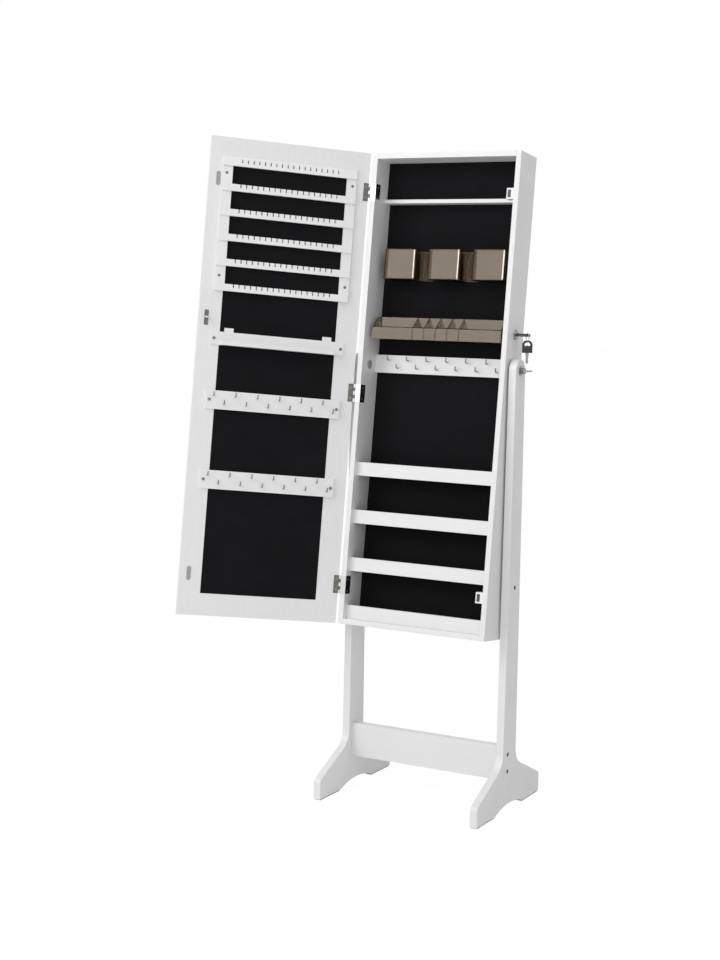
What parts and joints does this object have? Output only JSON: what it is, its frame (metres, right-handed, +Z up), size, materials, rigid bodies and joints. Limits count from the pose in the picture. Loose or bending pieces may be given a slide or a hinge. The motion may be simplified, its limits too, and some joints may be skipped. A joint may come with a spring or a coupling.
{
  "type": "jewelry cabinet",
  "caption": "Free-standing jewelry armoire that tilts between two footed posts, with a mirror door on hinges, a cam lock with keys, velvet lining, shelves, hooks and clear organisers.",
  "frame": {"origin": "on the floor, midway between the posts, straight below the tilt pivot", "axes": "+X to the viewer's right along the pivot, +Y to the back, +Z up"},
  "size_m": [0.6906, 0.5098, 1.4694],
  "materials": {
    "white_lacquer": "satin white lacquer on fibreboard",
    "white_plastic": "smooth white moulding",
    "raw_board": "plain hardboard",
    "velvet_board": "black velvet on board",
    "smoky_plastic": "glossy smoky brown plastic",
    "bright_metal": "nickel plated",
    "black_steel": "blackened",
    "black_plastic": "moulded",
    "magnet": "bare",
    "beech": "bare",
    "mirror": "silvered"
  },
  "bodies": {
    "stand": {"right_post": "white_lacquer", "left_post": "white_lacquer", "right_foot": "white_lacquer", "left_foot": "white_lacquer", "foot_dowels": "beech", "foot_glides": "black_plastic", "barrel_nuts": "bright_metal", "stand_bolts": "black_steel", "lower_crossbar": "white_lacquer", "rear_rail": "white_lacquer", "pivot_spacers": "black_plastic", "wing_washers": "bright_metal"},
    "right_wing": {"right_wing_bolt": "bright_metal"},
    "left_wing": {"left_wing_bolt": "bright_metal"},
    "lock": {"lock_plug": "bright_metal", "lock_cam": "bright_metal"},
    "key": {"main_key_blade": "bright_metal", "main_key_bow": "black_plastic", "key_ring": "bright_metal"},
    "spare_key": {"spare_key_blade": "bright_metal", "spare_key_bow": "black_plastic"},
    "door": {"door_frame": "white_lacquer", "mirror_glass": "mirror", "mirror_backing": "raw_board", "door_velvet": "velvet_board", "earring_ladder": "white_plastic", "ring_ledge": "white_plastic", "upper_hook_strip": "white_plastic", "lower_hook_strip": "white_plastic", "door_hooks": "bright_metal", "door_screws": "bright_metal", "strike_plates": "bright_metal", "lock_keeper": "bright_metal", "hinge_door_leaves": "bright_metal"},
    "cabinet": {"right_side_panel": "white_lacquer", "left_side_panel": "white_lacquer", "top_panel": "white_lacquer", "bottom_panel": "white_lacquer", "top_shelf": "white_lacquer", "bottom_rail": "white_lacquer", "shelf_rail_1": "white_lacquer", "shelf_rail_2": "white_lacquer", "shelf_rail_3": "white_lacquer", "cabinet_hook_strip": "white_lacquer", "catch_housings": "white_plastic", "back_panel": "raw_board", "back_lining": "velvet_board", "upper_lining": "velvet_board", "shelf_1": "velvet_board", "shelf_2": "velvet_board", "shelf_3": "velvet_board", "cup_organiser": "smoky_plastic", "divider_tray": "smoky_plastic", "cabinet_hooks": "bright_metal", "hinge_cabinet_leaves": "bright_metal", "hinge_pins": "bright_metal", "lock_housing": "bright_metal", "pivot_inserts": "bright_metal", "catch_magnets": "magnet"}
  },
  "joints": [
    {"name": "cabinet_tilt", "type": "hinge", "parent": "stand", "child": "cabinet", "pos_m": [0, 0, 0.9717], "axis": [-1, 0, 0], "range_deg": [0, 12]},
    {"name": "door_swing", "type": "hinge", "parent": "cabinet", "child": "door", "pos_m": [-0.1824, -0.04291, 0.91841], "axis": [0, -0.1184, -0.993], "range_deg": [-139.3, 0]},
    {"name": "right_wing_turn", "type": "hinge", "parent": "stand", "child": "right_wing", "pos_m": [0.2, 0, 0.9717], "axis": [1, 0, 0], "continuous": true},
    {"name": "left_wing_turn", "type": "hinge", "parent": "stand", "child": "left_wing", "pos_m": [-0.2, 0, 0.9717], "axis": [-1, 0, 0], "continuous": true},
    {"name": "lock_turn", "type": "hinge", "parent": "cabinet", "child": "lock", "pos_m": [0.183, 0.01503, 1.04796], "axis": [1, 0, 0], "range_deg": [0, 90]},
    {"name": "key_slide", "type": "slide", "parent": "lock", "child": "key", "axis": [1, 0, 0], "range_m": [0, 0.03]},
    {"name": "spare_key_swing", "type": "hinge", "parent": "key", "child": "spare_key", "pos_m": [0.21073, 0.01039, 1.03251], "axis": [0.6428, -0.766, 0], "range_deg": [-4, 12]}
  ]
}
